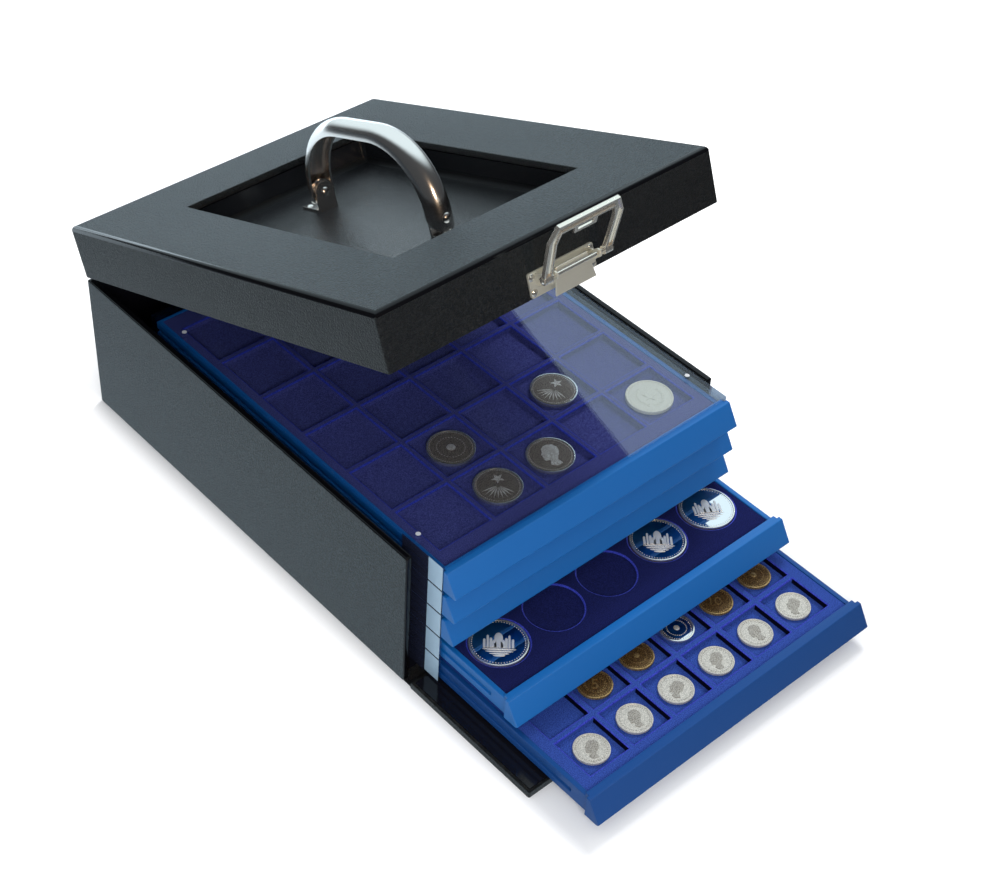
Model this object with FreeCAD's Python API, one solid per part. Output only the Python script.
"""Coin collector cabinet: a covered carrying case that holds a stack of clear coin boxes with sliding drawers.

Frame: millimetres, +X to the right seen from the front, +Y to the back, +Z up.
Origin: centre of the case's underside, between its side walls.
The lid stands part open, the front flap lies flat, and the two lowest drawers are drawn out.
"""

import FreeCAD, Part
import math
import os

os.makedirs("parts", exist_ok=True)

# ---- driving dimensions, mm ------------------------------------------------------------------

# coin boxes: a clear sleeve with one drawer in it
box_width = 236.0
box_depth = 290.0
box_height = 20.0
box_count = 5
shell_wall = 1.8
flange_width = 9.0
flange_thick = 1.6
rib_reach = 1.5
rib_height = 2.4
rib_low = 7.0
rib_end_margin = 14.0
peg_radius = 1.6
peg_height = 1.4
peg_inset_x = 6.0
peg_inset_y = 29.0
peg_clearance = 0.3

# drawers
drawer_gap = 0.4
drawer_wall = 3.4
drawer_floor = 1.6
drawer_back_wall = 2.0
drawer_back_gap = 0.7
drawer_side_top = 14.8
drawer_lift = 0.3
groove_depth = 1.5
groove_clearance = 0.4
grip_reach = 12.5
grip_inner = 2.4
grip_top = 17.8
grip_rib = 3.0
lip_height = 3.6
grip_round = 0.8

# velvet inserts
insert_top = 14.2
insert_gap = 0.2
insert_sheet = 1.4
insert_skirt = 2.0
middle_column_count = 5
middle_row_count = 6
small_column_count = 6
small_row_count = 8
middle_side_margin = 4.2
middle_end_margin = 12.0
middle_rim = 6.0
middle_depth = 3.6
small_side_margin = 6.6
small_end_margin = 6.0
small_rim = 6.4
small_depth = 3.9
ring_side_margin = 0.0
ring_depth = 2.0
ring_clearance = 0.6

# coins
crown_radius = 18.2
crown_thick = 2.8
half_crown_radius = 15.4
half_crown_thick = 2.4
small_coin_radius = 11.2
small_coin_thick = 1.8
coin_rim = 1.2
coin_rim_height = 0.25

# how far each drawer, counted from the top, is drawn out
drawer_out = [0.0, 0.0, 0.0, 57.0, 127.0]

# case
board = 4.7
lining = 0.8
floor_board = 5.5
lining_inset = 2.0
side_slack = 7.0
back_slack = 20.0
top_slack = 0.2
stack_shift = 3.0
stack_forward = 18.0
board_round = 1.2

# front flap
flap_clearance = 1.5
flap_top_gap = 0.5
hinge_cloth = 0.8
hinge_cloth_lift = 0.2
hinge_cloth_margin = 0.6

# lid
lid_gap = 0.3
lid_height = 36.0
lid_top_board = 5.5
lid_open_angle = 22.0
recess_width = 142.0
recess_length = 222.0
recess_depth = 22.0
recess_centre_back = -1.0
tray_wall = 2.0
tray_setback = 1.0
tray_flange = 9.0
tray_corner = 4.0

# carrying handle and its brackets
handle_half_length = 69.0
handle_rise = 54.0
handle_radius = 9.0
handle_wall = 1.6
handle_corner = 52.0
handle_cheek = 2.5
handle_pin_height = 12.0
handle_pin_radius = 2.0
handle_running_gap = 0.08
bore_overrun = 20.0
handle_pin_head = 3.2
handle_pin_dome = 1.4
bracket_thick = 1.6
bracket_gap = 0.4
bracket_half_width = 7.0
bracket_foot = 9.5
bracket_rivet_out = 5.0
bracket_rivet_inset = 4.0

# rear butt hinges
hinge_offset_x = 70.0
hinge_leaf_width = 38.0
hinge_leaf_height = 16.0
hinge_leaf_thick = 1.2
knuckle_radius = 3.0
knuckle_middle = 13.0
knuckle_gap = 0.25
hinge_pin_radius = 1.4
hinge_pin_gap = 0.05
hinge_back_gap = 0.3
leaf_knuckle_gap = 0.4
hinge_rivet_spread = 13.0
hinge_rivet_drop = 10.0
hinge_rivet_low_drop = 12.5
hinge_cap_thick = 0.8
hinge_cap_radius = 2.1
hinge_cap_gap = 0.1

# latch
latch_width = 50.0
latch_height = 15.0
latch_low = 0.8
latch_plate = 1.2
latch_corner = 1.5
latch_rivet_inset = 2.6
latch_rivet_margin = 3.0
latch_pin_head = 1.9
latch_pin_dome = 0.8
ear_inset = 5.6
ear_thick = 1.2
ear_radius = 3.6
lever_pin_out = 5.6
lever_pin_up = 11.0
lever_pin_radius = 1.2
latch_pin_gap = 0.06
lever_face_out = 10.0
lever_face_thick = 1.2
lever_top_taper = 3.4
lever_low = 0.4
lever_high = 16.5
cheek_gap = 1.6
cheek_thick = 1.2
cheek_radius = 2.6
loop_pin_out = 15.0
loop_pin_up = 14.5
loop_pin_radius = 1.1
loop_angle = 29.5
loop_thick = 2.6
loop_foot_gap = 1.0
loop_shoulder_flare = 2.0
loop_top_taper = 5.0
loop_shoulder = 28.0
loop_length = 39.0
loop_band = 6.0
loop_rim = 1.1
loop_groove = 1.2
loop_shoulder_turn = 1.5
loop_eye_radius = 2.6
loop_pin_overhang = 0.4
tab_half_width = 8.5
tab_reach = 6.0
tab_slot_half = 6.0
tab_slot_width = 2.6

# keeper in the flap
keeper_width = 36.0
keeper_height = 20.0
keeper_thick = 1.0
keeper_sink = 0.15
keeper_drop = 15.0
keeper_pocket = 3.2
keeper_slot_clearance = 1.5
keeper_rivet_inset = 4.0

# rivets
rivet_radius = 1.2
rivet_head_radius = 2.3
rivet_head = 1.0
rivet_bite = 2.6

# ---- places worked out from the dimensions -----------------------------------------------------

stack_height = box_count * box_height
inner_half = (box_width + side_slack) / 2
case_half = inner_half + lining + board
case_depth = grip_reach + box_depth + back_slack + lining + board
wall_front = -case_depth / 2
wall_back = case_depth / 2
floor_top = floor_board + lining
wall_height = floor_top + stack_height + top_slack
flap_thick = board + lining
front_plane = wall_front - flap_thick - flap_clearance
flap_length = wall_height - flap_top_gap
lid_low = wall_height + lid_gap
lid_top = lid_low + lid_height
stack_front = wall_front - stack_forward
hinge_y = wall_back + hinge_back_gap + knuckle_radius
hinge_z = wall_height + lid_gap / 2
recess_y = (front_plane + wall_back) / 2 + recess_centre_back
recess_floor = lid_top - recess_depth
ear_centre = latch_width / 2 - ear_inset
cheek_centre = ear_centre - (ear_thick + cheek_thick) / 2 - cheek_gap
lever_low_half = cheek_centre - cheek_thick
lever_top_half = lever_low_half - lever_top_taper
loop_foot_half = latch_width / 2 + loop_foot_gap
loop_shoulder_half = loop_foot_half + loop_shoulder_flare
loop_top_half = loop_shoulder_half - loop_top_taper

X_AXIS = FreeCAD.Vector(1, 0, 0)
Y_AXIS = FreeCAD.Vector(0, 1, 0)
Z_AXIS = FreeCAD.Vector(0, 0, 1)


def point(x, y, z):
    return FreeCAD.Vector(x, y, z)


def block(x0, x1, y0, y1, z0, z1):
    """A box between two corners."""
    return Part.makeBox(x1 - x0, y1 - y0, z1 - z0, point(x0, y0, z0))


def rod(centre, axis, radius, length):
    """A cylinder that starts at a point and runs along an axis."""
    return Part.makeCylinder(radius, length, centre, axis)


def fused(pieces):
    """One solid from pieces that overlap or meet."""
    if len(pieces) == 1:
        return pieces[0]
    return pieces[0].fuse(pieces[1:]).removeSplitter()


def without(solid, tools):
    """The solid with the tools cut away."""
    return solid.cut(tools) if tools else solid


def prism(points, direction):
    """A flat outline pushed along a direction."""
    wire = Part.makePolygon(points + [points[0]])
    return Part.Face(wire).extrude(direction)


def rounded(solid, radius, choose):
    """Rounds the edges that a test picks."""
    edges = [edge for edge in solid.Edges if choose(edge)]
    return solid.makeFillet(radius, edges) if edges else solid


def save(name, solids):
    """Writes one node as closed solids."""
    flat = []
    for shape in solids:
        flat.extend(shape.Solids)
    Part.makeCompound(flat).exportStep("parts/" + name + ".step")


def along(edge, axis):
    """True for a straight edge that runs along an axis."""
    if not isinstance(edge.Curve, (Part.Line, Part.LineSegment)):
        return False
    return abs(edge.tangentAt(edge.FirstParameter).dot(axis)) > 0.999


def rivet(face_point, outward, depth=rivet_bite):
    """A domed rivet: its head lies on a face and its shank goes in behind it."""
    shank = rod(face_point - outward * depth, outward, rivet_radius, depth)
    dome_radius = (rivet_head_radius ** 2 + rivet_head ** 2) / (2 * rivet_head)
    dome = Part.makeSphere(dome_radius, face_point - outward * (dome_radius - rivet_head))
    head = dome.common(rod(face_point, outward, rivet_head_radius * 1.2, rivet_head * 2))
    return fused([shank, head])


def rivet_hole(face_point, outward, depth=rivet_bite):
    """The round hole that a rivet's shank fills, open at the face."""
    return rod(face_point - outward * depth, outward, rivet_radius, depth)


# ---- case ----------------------------------------------------------------------------------


def hinge_points(side_z, outward_z):
    """Rivet places on one row of hinge leaves."""
    places = []
    for centre in (-hinge_offset_x, hinge_offset_x):
        for offset in (-hinge_rivet_spread, 0, hinge_rivet_spread):
            drop = hinge_rivet_drop if offset else hinge_rivet_low_drop
            places.append((centre + offset, side_z + outward_z * drop))
    return places


def hinge_leaf(centre_x, upward, knuckle_spans):
    """A hinge leaf on the back, with its share of the knuckles round the pin."""
    face = wall_back
    near = knuckle_radius + leaf_knuckle_gap
    low, high = sorted((hinge_z + upward * near, hinge_z + upward * (near + hinge_leaf_height)))
    half = hinge_leaf_width / 2
    pieces = [block(centre_x - half, centre_x + half, face, face + hinge_leaf_thick, low, high)]
    for start, end in knuckle_spans:
        tab_low, tab_high = sorted((hinge_z, hinge_z + upward * (near + hinge_leaf_thick)))
        pieces.append(block(centre_x + start, centre_x + end, face, face + hinge_leaf_thick, tab_low, tab_high))
        pieces.append(rod(point(centre_x + start, hinge_y, hinge_z), X_AXIS, knuckle_radius, end - start))
        bridge_low, bridge_high = sorted((hinge_z, hinge_z + upward * hinge_leaf_thick * 2))
        pieces.append(block(centre_x + start, centre_x + end, face, hinge_y, bridge_low, bridge_high))
    bore = rod(point(centre_x - half, hinge_y, hinge_z), X_AXIS, hinge_pin_radius + hinge_pin_gap, 2 * half)
    return without(fused(pieces), [bore])


def make_case():
    """Floor, walls and linings of the case, with the case halves of the rear hinges."""
    outward = Y_AXIS
    leaf_face = wall_back + hinge_leaf_thick
    places = hinge_points(hinge_z - knuckle_radius - leaf_knuckle_gap, -1)
    rivets = [rivet(point(x, leaf_face, z), outward, hinge_leaf_thick + rivet_bite) for x, z in places]
    holes = [rivet_hole(point(x, leaf_face, z), outward, hinge_leaf_thick + rivet_bite) for x, z in places]

    floor = block(-case_half + board, case_half - board, wall_front, wall_back - board, 0, floor_board)
    save("case_floor", [floor])
    for name, side in (("case_left_wall", -1), ("case_right_wall", 1)):
        x0, x1 = sorted((side * (case_half - board), side * case_half))
        wall = block(x0, x1, wall_front, wall_back, 0, wall_height)
        wall = rounded(wall, board_round, lambda e: along(e, Z_AXIS) and side * e.CenterOfMass.x > case_half - 0.1)
        save(name, [wall])
    inner = case_half - board
    back = block(-inner, inner, wall_back - board, wall_back, 0, wall_height)
    save("case_back_wall", [without(back, holes)])

    floor_lining = block(-inner, inner, wall_front + lining_inset, wall_back - board, floor_board, floor_top)
    save("case_floor_lining", [floor_lining])
    high = wall_height - lining_inset
    sides = []
    for side in (-1, 1):
        x0, x1 = sorted((side * inner_half, side * inner))
        sides.append(block(x0, x1, wall_front + lining_inset, wall_back - board, floor_top, high))
    save("case_side_linings", sides)
    back_lining = block(-inner_half, inner_half, wall_back - board - lining, wall_back - board, floor_top, high)
    save("case_back_lining", [back_lining])

    half = hinge_leaf_width / 2
    middle = knuckle_middle / 2 + knuckle_gap
    leaves = []
    pins = []
    for centre in (-hinge_offset_x, hinge_offset_x):
        leaf = hinge_leaf(centre, -1, [(-half, -middle), (middle, half)])
        leaves.append(without(leaf, holes))
        reach = half + hinge_cap_gap
        pin = rod(point(centre - reach, hinge_y, hinge_z), X_AXIS, hinge_pin_radius, 2 * reach)
        caps = [rod(point(centre + side * reach, hinge_y, hinge_z), X_AXIS * side, hinge_cap_radius, hinge_cap_thick)
                for side in (-1, 1)]
        pins.append(fused([pin] + caps))
    save("hinge_case_leaves", leaves)
    save("hinge_pins", pins)
    save("hinge_case_rivets", rivets)


# ---- front flap ------------------------------------------------------------------------------


def make_flap():
    """The front flap lies flat in front of the case, its keeper let into the outer face below."""
    free_edge = front_plane - flap_length
    keeper_y = free_edge + keeper_drop
    half_w = keeper_width / 2
    half_h = keeper_height / 2
    seat = block(-half_w, half_w, keeper_y - half_h, keeper_y + half_h, 0, keeper_thick + keeper_sink)
    slot_half = tab_half_width + keeper_slot_clearance
    slot_reach = (tab_reach + 2 * keeper_slot_clearance) / 2
    pocket = block(-slot_half - 2, slot_half + 2, keeper_y - slot_reach - 2, keeper_y + slot_reach, 0, keeper_pocket)
    places = [(sx * (half_w - keeper_rivet_inset), keeper_y + sy * (half_h - keeper_rivet_inset))
              for sx in (-1, 1) for sy in (-1, 1)]
    pins = [rod(point(x, y, keeper_sink), Z_AXIS, rivet_radius, keeper_thick + rivet_bite) for x, y in places]

    panel = block(-case_half, case_half, free_edge, front_plane, 0, board)
    panel = rounded(panel, board_round, lambda e: along(e, Z_AXIS) and e.CenterOfMass.y < free_edge + 1)
    save("front_flap", [without(panel, [seat, pocket] + pins)])
    cover = block(-case_half + lining_inset, case_half - lining_inset, free_edge + lining_inset,
                  front_plane - lining_inset, board, flap_thick)
    save("flap_lining", [cover])
    plate = block(-half_w, half_w, keeper_y - half_h, keeper_y + half_h, keeper_sink, keeper_sink + keeper_thick)
    window = block(-slot_half, slot_half, keeper_y - slot_reach, keeper_y + slot_reach,
                   0, keeper_sink + 2 * keeper_thick)
    save("latch_keeper", [without(plate, [window] + pins)])
    save("keeper_rivets", pins)
    cloth_half = case_half - hinge_cloth_margin
    cloth = block(-cloth_half, cloth_half, front_plane, wall_front, hinge_cloth_lift, hinge_cloth_lift + hinge_cloth)
    save("flap_hinge_cloth", [cloth])


# ---- lid, built closed and then swung open -------------------------------------------------------


def opened(shape):
    """Swings a closed-lid shape to the angle at which the lid stands."""
    turned = shape.copy()
    turned.rotate(point(0, hinge_y, hinge_z), X_AXIS, -lid_open_angle)
    return turned


def save_lid(name, shapes):
    save(name, [opened(shape) for shape in shapes])


def make_lid():
    """Frame, linings, recessed tray and hinge leaves of the lid."""
    leaf_face = wall_back + hinge_leaf_thick
    places = hinge_points(hinge_z + knuckle_radius + leaf_knuckle_gap, 1)
    rivets = [rivet(point(x, leaf_face, z), Y_AXIS, hinge_leaf_thick + rivet_bite) for x, z in places]
    holes = [rivet_hole(point(x, leaf_face, z), Y_AXIS, hinge_leaf_thick + rivet_bite) for x, z in places]
    under_top = lid_top - lid_top_board

    half_w = recess_width / 2
    half_l = recess_length / 2
    top = block(-case_half, case_half, front_plane, wall_back, under_top, lid_top)
    opening = block(-half_w, half_w, recess_y - half_l, recess_y + half_l, under_top - 1, lid_top + 1)
    top = top.cut(opening)
    top = rounded(top, board_round, lambda e: e.CenterOfMass.z > lid_top - 0.1 and e.Length > recess_length + 5)
    save_lid("lid_top", [top])

    inner = case_half - board
    for name, side in (("lid_left_skirt", -1), ("lid_right_skirt", 1)):
        x0, x1 = sorted((side * inner, side * case_half))
        save_lid(name, [block(x0, x1, front_plane, wall_back, lid_low, under_top)])
    skirt_holes = latch_holes()
    front = block(-inner, inner, front_plane, front_plane + board, lid_low, under_top)
    save_lid("lid_front_skirt", [without(front, skirt_holes)])
    back = block(-inner, inner, wall_back - board, wall_back, lid_low, under_top)
    save_lid("lid_back_skirt", [without(back, holes)])

    low = lid_low + lining_inset
    strips = []
    for side in (-1, 1):
        x0, x1 = sorted((side * inner_half, side * inner))
        strips.append(block(x0, x1, front_plane + board, wall_back - board, low, under_top))
    strips.append(block(-inner_half, inner_half, front_plane + board, front_plane + board + lining, low, under_top))
    strips.append(block(-inner_half, inner_half, wall_back - board - lining, wall_back - board, low, under_top))
    save_lid("lid_linings", strips)

    in_w = half_w + tray_setback
    in_l = half_l + tray_setback
    out_w = in_w + tray_wall
    out_l = in_l + tray_wall
    shell = block(-out_w, out_w, recess_y - out_l, recess_y + out_l, recess_floor - tray_wall, under_top)
    flange = block(-out_w - tray_flange, out_w + tray_flange, recess_y - out_l - tray_flange,
                   recess_y + out_l + tray_flange, under_top - tray_wall, under_top)
    hollow = block(-in_w, in_w, recess_y - in_l, recess_y + in_l, recess_floor, lid_top)
    hollow = hollow.makeFillet(tray_corner, [e for e in hollow.Edges if along(e, Z_AXIS)])
    tray = fused([shell, flange]).cut(hollow)
    save_lid("lid_recess_tray", [without(tray, bracket_holes())])

    half = hinge_leaf_width / 2
    middle = knuckle_middle / 2
    leaves = [without(hinge_leaf(centre, 1, [(-middle, middle)]), holes)
              for centre in (-hinge_offset_x, hinge_offset_x)]
    save_lid("hinge_lid_leaves", leaves)
    save_lid("hinge_lid_rivets", rivets)


# ---- carrying handle ---------------------------------------------------------------------------

handle_pin_z = recess_floor + handle_pin_height
leg_centre = handle_half_length - handle_radius
ear_inner = leg_centre - bracket_gap


def bracket_rivet_points():
    """Places of the rivets that hold the bracket feet, as X and distance from the handle's middle."""
    reach = handle_half_length + bracket_rivet_out
    return [(x, reach) for x in (-bracket_rivet_inset, bracket_rivet_inset)]


def bracket_holes():
    """Holes in the tray's floor for the bracket rivets."""
    top = recess_floor + bracket_thick
    return [rivet_hole(point(x, recess_y + side * reach, top), Z_AXIS, bracket_thick + tray_wall)
            for side in (-1, 1) for x, reach in bracket_rivet_points()]


def handle_profile(y, z):
    """Half-tube section in the XY plane, open towards the handle's middle, at the foot of the front leg."""
    outer = handle_radius
    inner = handle_radius - handle_wall
    a = point(-outer, y, z)
    b = point(0, y - outer, z)
    c = point(outer, y, z)
    d = point(inner, y, z)
    e = point(0, y - inner, z)
    f = point(-inner, y, z)
    edges = [Part.Arc(a, b, c).toShape(), Part.makeLine(c, d), Part.Arc(d, e, f).toShape(), Part.makeLine(f, a)]
    return Part.Wire(edges)


def make_handle():
    """A half-tube arch on two pins, and the brackets that carry it."""
    low = handle_pin_z - handle_radius
    centre_top = handle_pin_z + handle_rise - handle_radius
    bend = handle_corner - handle_radius
    front = recess_y - leg_centre
    back = recess_y + leg_centre
    slope = bend * (1 - math.sqrt(0.5))
    path = Part.Wire([
        Part.makeLine(point(0, front, low), point(0, front, centre_top - bend)),
        Part.Arc(point(0, front, centre_top - bend), point(0, front + slope, centre_top - slope),
                 point(0, front + bend, centre_top)).toShape(),
        Part.makeLine(point(0, front + bend, centre_top), point(0, back - bend, centre_top)),
        Part.Arc(point(0, back - bend, centre_top), point(0, back - slope, centre_top - slope),
                 point(0, back, centre_top - bend)).toShape(),
        Part.makeLine(point(0, back, centre_top - bend), point(0, back, low)),
    ])
    arch = path.makePipeShell([handle_profile(front, low)], True, False)
    arch = Part.Solid(arch) if arch.ShapeType == "Shell" else arch
    keep = [block(-handle_radius, handle_radius, front - 2 * handle_radius, back + 2 * handle_radius,
                  handle_pin_z, centre_top + 2 * handle_radius),
            rod(point(0, front - 2 * handle_radius, handle_pin_z), Y_AXIS, handle_radius,
                back - front + 4 * handle_radius)]
    arch = arch.common(fused(keep))
    inner = handle_radius - handle_wall / 2
    cheeks = []
    for side, start in ((1, front - handle_cheek), (-1, back)):
        disc = rod(point(0, start, handle_pin_z), Y_AXIS, inner, handle_cheek)
        cheek = block(-inner, inner, start, start + handle_cheek, handle_pin_z, handle_pin_z + handle_radius)
        cheeks.append(fused([disc, cheek]))
    bore = rod(point(0, front - bore_overrun, handle_pin_z), Y_AXIS, handle_pin_radius + handle_running_gap,
               back - front + 2 * bore_overrun)
    handle = fused([arch] + cheeks).cut(bore)
    save_lid("carry_handle", [handle])

    brackets = []
    pins = []
    rivets = []
    for side in (-1, 1):
        face_out = recess_y + side * ear_inner
        face_in = face_out - side * bracket_thick
        y0, y1 = sorted((face_out, face_in))
        ear = fused([block(-bracket_half_width, bracket_half_width, y0, y1, recess_floor, handle_pin_z),
                     rod(point(0, y0, handle_pin_z), Y_AXIS, bracket_half_width, bracket_thick)])
        y2, y3 = sorted((face_in, recess_y + side * (handle_half_length + bracket_foot)))
        foot = block(-bracket_half_width, bracket_half_width, y2, y3, recess_floor, recess_floor + bracket_thick)
        hole = rod(point(0, y0 - 1, handle_pin_z), Y_AXIS, handle_pin_radius, bracket_thick + 2)
        brackets.append(fused([ear, foot]).cut([hole] + bracket_holes()))
        outside = recess_y + side * handle_half_length
        start = min(outside, face_in)
        shaft = rod(point(0, start, handle_pin_z), Y_AXIS, handle_pin_radius, abs(outside - face_in))
        heads = []
        for place, direction in ((outside, side), (face_in, -side)):
            heads.append(dome(point(0, place, handle_pin_z), Y_AXIS * direction, handle_pin_head, handle_pin_dome))
        pins.append(fused([shaft] + heads))
        for x, reach in bracket_rivet_points():
            top = point(x, recess_y + side * reach, recess_floor + bracket_thick)
            rivets.append(rivet(top, Z_AXIS, bracket_thick + tray_wall))
    save_lid("handle_brackets", brackets)
    save_lid("handle_pins", pins)
    save_lid("handle_bracket_rivets", rivets)


def dome(face_point, outward, radius, height):
    """A domed head that lies on a face."""
    sphere_radius = (radius ** 2 + height ** 2) / (2 * height)
    ball = Part.makeSphere(sphere_radius, face_point - outward * (sphere_radius - height))
    return ball.common(rod(face_point, outward, radius * 1.2, height * 2))


# ---- latch -------------------------------------------------------------------------------------

latch_face = front_plane
lever_pin_y = latch_face - lever_pin_out
lever_pin_z = lid_low + lever_pin_up
loop_pin_y = latch_face - loop_pin_out
loop_pin_z = lid_low + loop_pin_up
latch_rivet_x = latch_width / 2 - latch_rivet_inset


def latch_rivet_points():
    low = lid_low + latch_low + latch_rivet_margin
    high = lid_low + latch_low + latch_height - latch_rivet_margin
    return [point(side * latch_rivet_x, latch_face - latch_plate, z) for side in (-1, 1) for z in (low, high)]


def latch_holes():
    """Holes in the front skirt for the latch rivets."""
    return [rivet_hole(p, -Y_AXIS, latch_plate + rivet_bite) for p in latch_rivet_points()]


def loop_half_width(reach):
    """Half width of the loop's outline at a distance from its pin."""
    if reach < loop_shoulder:
        share = reach / loop_shoulder
        return loop_foot_half + share * (loop_shoulder_half - loop_foot_half)
    share = (reach - loop_shoulder) / (loop_length - loop_shoulder)
    return loop_shoulder_half + share * (loop_top_half - loop_shoulder_half)


def make_latch():
    """Base plate with ears, lever, loop and their pins, on the lid's front."""
    low = lid_low + latch_low
    plate = block(-latch_width / 2, latch_width / 2, latch_face - latch_plate, latch_face, low, low + latch_height)
    plate = plate.makeFillet(latch_corner, [e for e in plate.Edges if along(e, Y_AXIS)])
    ears = []
    for side in (-1, 1):
        start = side * ear_centre - ear_thick / 2
        ears.append(block(start, start + ear_thick, lever_pin_y, latch_face - latch_plate / 2,
                          lever_pin_z - ear_radius, lever_pin_z + ear_radius))
        ears.append(rod(point(start, lever_pin_y, lever_pin_z), X_AXIS, ear_radius, ear_thick))
    pin_half = ear_centre + ear_thick / 2
    pin_hole = rod(point(-latch_width, lever_pin_y, lever_pin_z), X_AXIS, lever_pin_radius, 2 * latch_width)
    base = fused([plate] + ears).cut([pin_hole] + latch_holes())
    save_lid("latch_base", [base])
    save_lid("latch_rivets", [rivet(p, -Y_AXIS, latch_plate + rivet_bite) for p in latch_rivet_points()])
    pin = rod(point(-pin_half, lever_pin_y, lever_pin_z), X_AXIS, lever_pin_radius, 2 * pin_half)
    ends = [dome(point(side * pin_half, lever_pin_y, lever_pin_z), X_AXIS * side, latch_pin_head, latch_pin_dome)
            for side in (-1, 1)]
    save_lid("latch_lever_pin", [fused([pin] + ends)])

    face_y = latch_face - lever_face_out
    outline = [point(-lever_low_half, face_y, lid_low + lever_low), point(lever_low_half, face_y, lid_low + lever_low),
               point(lever_top_half, face_y, lid_low + lever_high),
               point(-lever_top_half, face_y, lid_low + lever_high)]
    face = prism(outline, point(0, -lever_face_thick, 0))
    pieces = [face]
    for side in (-1, 1):
        start = side * cheek_centre - cheek_thick / 2
        pieces.append(rod(point(start, lever_pin_y, lever_pin_z), X_AXIS, cheek_radius, cheek_thick))
        pieces.append(rod(point(start, loop_pin_y, loop_pin_z), X_AXIS, cheek_radius, cheek_thick))
        foot = point(start, lever_pin_y, lever_pin_z)
        head = point(start, loop_pin_y, loop_pin_z)
        across = X_AXIS.cross((head - foot).normalize()) * cheek_radius
        link = [foot + across, head + across, head - across, foot - across]
        pieces.append(prism(link, point(cheek_thick, 0, 0)))
    bridge = block(-cheek_centre, cheek_centre, face_y - lever_face_thick, face_y,
                   lever_pin_z - cheek_radius, lever_pin_z + cheek_radius)
    pieces.append(bridge)
    bores = [rod(point(-latch_width, lever_pin_y, lever_pin_z), X_AXIS, lever_pin_radius + latch_pin_gap,
                 2 * latch_width),
             rod(point(-latch_width, loop_pin_y, loop_pin_z), X_AXIS, loop_pin_radius, 2 * latch_width)]
    save_lid("latch_lever", [fused(pieces).cut(bores)])
    loop_pin_half = loop_foot_half + loop_pin_overhang
    loop_pin = rod(point(-loop_pin_half, loop_pin_y, loop_pin_z), X_AXIS, loop_pin_radius, 2 * loop_pin_half)
    caps = [dome(point(side * loop_pin_half, loop_pin_y, loop_pin_z), X_AXIS * side, latch_pin_head, latch_pin_dome)
            for side in (-1, 1)]
    save_lid("latch_loop_pin", [fused([loop_pin] + caps)])
    save_lid("latch_loop", [make_loop()])


def loop_prism(inset, low, high, shoulder, y, depth):
    """A prism of the loop's outline, drawn in by an inset, between two distances from its pin."""
    stations = [low, shoulder, high]
    outline = [point(loop_half_width(max(t, 0)) - inset, y, loop_pin_z + t) for t in stations]
    outline += [point(inset - loop_half_width(max(t, 0)), y, loop_pin_z + t) for t in reversed(stations)]
    return prism(outline, point(0, depth, 0))


def make_loop():
    """The stamped loop: a grooved band, upright about its pin, then leaned outwards by its resting angle."""
    mid = loop_pin_y
    front = mid - loop_thick / 2
    inner_shoulder = loop_shoulder - loop_shoulder_turn
    frame = loop_prism(0, 0, loop_length, loop_shoulder, front, loop_thick)
    frame = frame.cut(loop_prism(loop_band, -1, loop_length - loop_band, inner_shoulder,
                                 front - 1, loop_thick + 2))
    groove = loop_prism(loop_rim, loop_eye_radius, loop_length - loop_rim, loop_shoulder, front, loop_groove)
    island = loop_prism(loop_band - loop_rim, loop_eye_radius, loop_length - loop_band + loop_rim,
                        inner_shoulder, front, loop_groove)
    frame = frame.cut(groove.cut(island))
    tab_top = loop_pin_z + loop_length - loop_band
    tab = block(-tab_half_width, tab_half_width, front + loop_groove, front + loop_thick,
                tab_top - tab_reach, tab_top + loop_rim)
    slot = block(-tab_slot_half, tab_slot_half, front - 1, front + loop_thick + 1,
                 tab_top - tab_reach / 2 - tab_slot_width / 2, tab_top - tab_reach / 2 + tab_slot_width / 2)
    pieces = [frame, tab]
    for side in (-1, 1):
        x0, x1 = sorted((side * loop_foot_half, side * (loop_foot_half - loop_band)))
        pieces.append(rod(point(x0, mid, loop_pin_z), X_AXIS, loop_eye_radius, x1 - x0))
    bore = rod(point(-latch_width, mid, loop_pin_z), X_AXIS, loop_pin_radius + latch_pin_gap, 2 * latch_width)
    loop = fused(pieces).cut([slot, bore])
    loop.rotate(point(0, mid, loop_pin_z), X_AXIS, loop_angle)
    return loop


# ---- coin boxes ------------------------------------------------------------------------------------


def box_place(level):
    """Left, front and underside of a coin box, counted from the top of the stack."""
    return stack_shift - box_width / 2, stack_front, floor_top + (box_count - 1 - level) * box_height


def make_shell(level):
    """A clear sleeve: top, sides, back, bottom flanges, runner ribs, pegs on top and holes below."""
    x, y, z = box_place(level)
    top = z + box_height
    inside = box_width - shell_wall
    pieces = [
        block(x, x + box_width, y, y + box_depth, top - shell_wall, top),
        block(x, x + shell_wall, y, y + box_depth, z, top),
        block(x + inside, x + box_width, y, y + box_depth, z, top),
        block(x, x + box_width, y + box_depth - shell_wall, y + box_depth, z, top),
        block(x, x + flange_width + shell_wall, y, y + box_depth, z, z + flange_thick),
        block(x + inside - flange_width, x + box_width, y, y + box_depth, z, z + flange_thick),
    ]
    rib_front = y + rib_end_margin
    rib_back = y + box_depth - rib_end_margin
    low = z + rib_low
    reach = shell_wall + rib_reach
    for wall_x in (x, x + box_width - reach):
        pieces.append(block(wall_x, wall_x + reach, rib_front, rib_back, low, low + rib_height))
    holes = []
    for px in (x + peg_inset_x, x + box_width - peg_inset_x):
        for py in (y + peg_inset_y, y + box_depth - peg_inset_y):
            pieces.append(rod(point(px, py, top - shell_wall / 2), Z_AXIS, peg_radius, shell_wall / 2 + peg_height))
            holes.append(rod(point(px, py, z - 1), Z_AXIS, peg_radius + peg_clearance, 1 + flange_thick))
    save("box_shell_%d" % (level + 1), [fused(pieces).cut(holes)])


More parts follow.
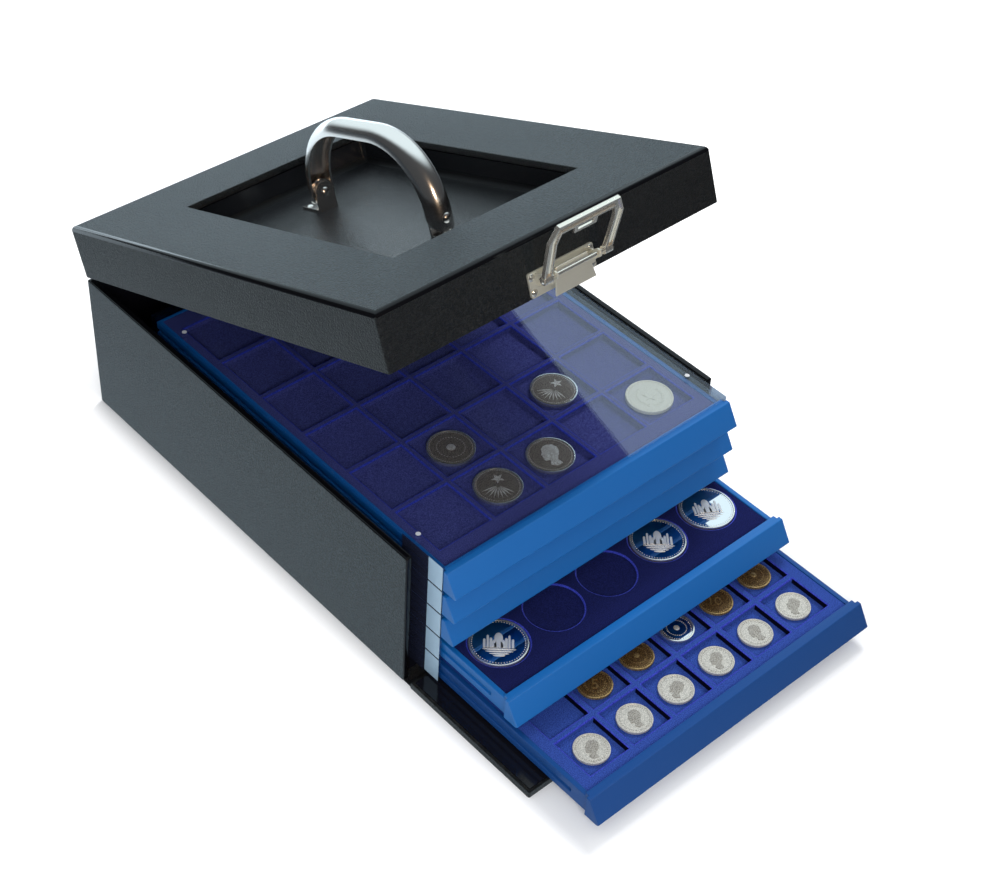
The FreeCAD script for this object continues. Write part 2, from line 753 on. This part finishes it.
def drawer_frame(level):
    """Left side, shell front plane and underside of a drawer where it stands."""
    x, y, z = box_place(level)
    side = shell_wall + drawer_gap
    return x + side, x + box_width - side, y - drawer_out[level], z + flange_thick + drawer_lift, z


def make_drawer(level):
    """A moulded drawer with runner grooves and a slanted grip along its front."""
    x0, x1, y, low, z = drawer_frame(level)
    back = y + box_depth - shell_wall - drawer_back_gap
    side_top = z + drawer_side_top
    tray = block(x0, x1, y, back, low, side_top)
    hollow = block(x0 + drawer_wall, x1 - drawer_wall, y + grip_inner, back - drawer_back_wall,
                   low + drawer_floor, side_top + 1)
    groove_low = z + rib_low - groove_clearance
    groove_high = z + rib_low + rib_height + groove_clearance
    grooves = []
    for gx in (x0, x1 - groove_depth):
        grooves.append(block(gx - 1 if gx == x0 else gx, gx + groove_depth if gx == x0 else x1 + 1,
                             y + rib_end_margin - groove_clearance, back + 1, groove_low, groove_high))
    shell_x0, shell_x1 = x0 - shell_wall - drawer_gap, x1 + shell_wall + drawer_gap
    profile = [
        point(shell_x0, y - drawer_gap, low),
        point(shell_x0, y - grip_reach + 1.6, low),
        point(shell_x0, y - grip_reach, z + lip_height),
        point(shell_x0, y - drawer_gap - grip_rib, z + grip_top),
        point(shell_x0, y - drawer_gap, z + grip_top),
    ]
    grip = prism(profile, point(shell_x1 - shell_x0, 0, 0))
    grip = rounded(grip, grip_round, lambda e: along(e, X_AXIS) and e.CenterOfMass.y < y - drawer_gap - 0.1)
    neck = block(x0, x1, y - drawer_gap - 1, y + grip_inner, low, z + grip_top)
    save("drawer_%d" % (level + 1), [fused([tray.cut(hollow), neck, grip]).cut(grooves)])
    return x0 + drawer_wall, x1 - drawer_wall, y + grip_inner, back - drawer_back_wall, low + drawer_floor, z


def pocket_grid(x0, x1, y0, y1, pattern):
    """Centres of the pockets, row by row from the front, and their pitch both ways."""
    columns, rows, side_margin, end_margin = pattern["columns"], pattern["rows"], pattern["side"], pattern["end"]
    pitch_x = (x1 - x0 - 2 * side_margin) / columns
    pitch_y = (y1 - y0 - 2 * end_margin) / rows
    centres = [[(x0 + side_margin + (c + 0.5) * pitch_x, y0 + end_margin + (r + 0.5) * pitch_y)
                for c in range(columns)] for r in range(rows)]
    return centres, pitch_x, pitch_y


middle_pattern = {"columns": middle_column_count, "rows": middle_row_count, "side": middle_side_margin,
                  "end": middle_end_margin, "rim": middle_rim, "depth": middle_depth}
small_pattern = {"columns": small_column_count, "rows": small_row_count, "side": small_side_margin,
                 "end": small_end_margin, "rim": small_rim, "depth": small_depth}
ring_pattern = {"columns": middle_column_count, "rows": middle_row_count, "side": ring_side_margin,
                "end": middle_end_margin, "rim": None, "depth": ring_depth}
patterns = [middle_pattern, middle_pattern, small_pattern, ring_pattern, small_pattern]


def make_insert(level, room):
    """A formed, flocked insert with a pocket for each coin, open below."""
    x0, x1, y0, y1, low, z = room
    pattern = patterns[level]
    top = z + insert_top
    left, right, front, back = x0 + insert_gap, x1 - insert_gap, y0 + insert_gap, y1 - insert_gap
    body = block(left, right, front, back, low, top)
    centres, pitch_x, pitch_y = pocket_grid(left, right, front, back, pattern)
    floor = top - pattern["depth"]
    cuts = []
    for cx, cy in [place for row in centres for place in row]:
        if pattern["rim"] is None:
            cuts.append(rod(point(cx, cy, floor), Z_AXIS, crown_radius + ring_clearance, pattern["depth"] + 1))
        else:
            half_x = (pitch_x - pattern["rim"]) / 2
            half_y = (pitch_y - pattern["rim"]) / 2
            cuts.append(block(cx - half_x, cx + half_x, cy - half_y, cy + half_y, floor, top + 1))
    cuts.append(block(left + insert_skirt, right - insert_skirt, front + insert_skirt, back - insert_skirt,
                      low - 1, floor - insert_sheet))
    save("insert_%d" % (level + 1), [body.cut(cuts)])
    return centres, floor


def coin(cx, cy, seat, radius, thick):
    """A struck coin: a disc with a raised rim on its upper face."""
    disc = rod(point(cx, cy, seat), Z_AXIS, radius, thick)
    field = rod(point(cx, cy, seat + thick - coin_rim_height), Z_AXIS, radius - coin_rim, thick)
    return disc.cut(field)


def make_coins(grids):
    """Coins that lie in the drawers, in groups of one metal, as column and row from the front."""
    groups = {
        "coins_top_dark": (0, half_crown_radius, half_crown_thick, [(1, 0), (2, 0), (1, 1), (3, 1)]),
        "coins_top_pale": (0, half_crown_radius, half_crown_thick, [(4, 0)]),
        "coins_proof": (3, crown_radius, crown_thick, [(0, 0), (3, 0), (4, 0)]),
        "coins_low_pale": (4, small_coin_radius, small_coin_thick, [(c, 0) for c in range(6)]),
        "coins_low_brass": (4, small_coin_radius, small_coin_thick, [(1, 1), (2, 1), (4, 1), (5, 1)]),
        "coins_low_dark": (4, small_coin_radius, small_coin_thick, [(3, 1)]),
    }
    for name, (level, radius, thick, places) in groups.items():
        centres, seat = grids[level]
        save(name, [coin(centres[r][c][0], centres[r][c][1], seat, radius, thick) for c, r in places])


def make_boxes():
    grids = []
    for level in range(box_count):
        make_shell(level)
        grids.append(make_insert(level, make_drawer(level)))
    make_coins(grids)


make_case()
make_flap()
make_lid()
make_handle()
make_latch()
make_boxes()
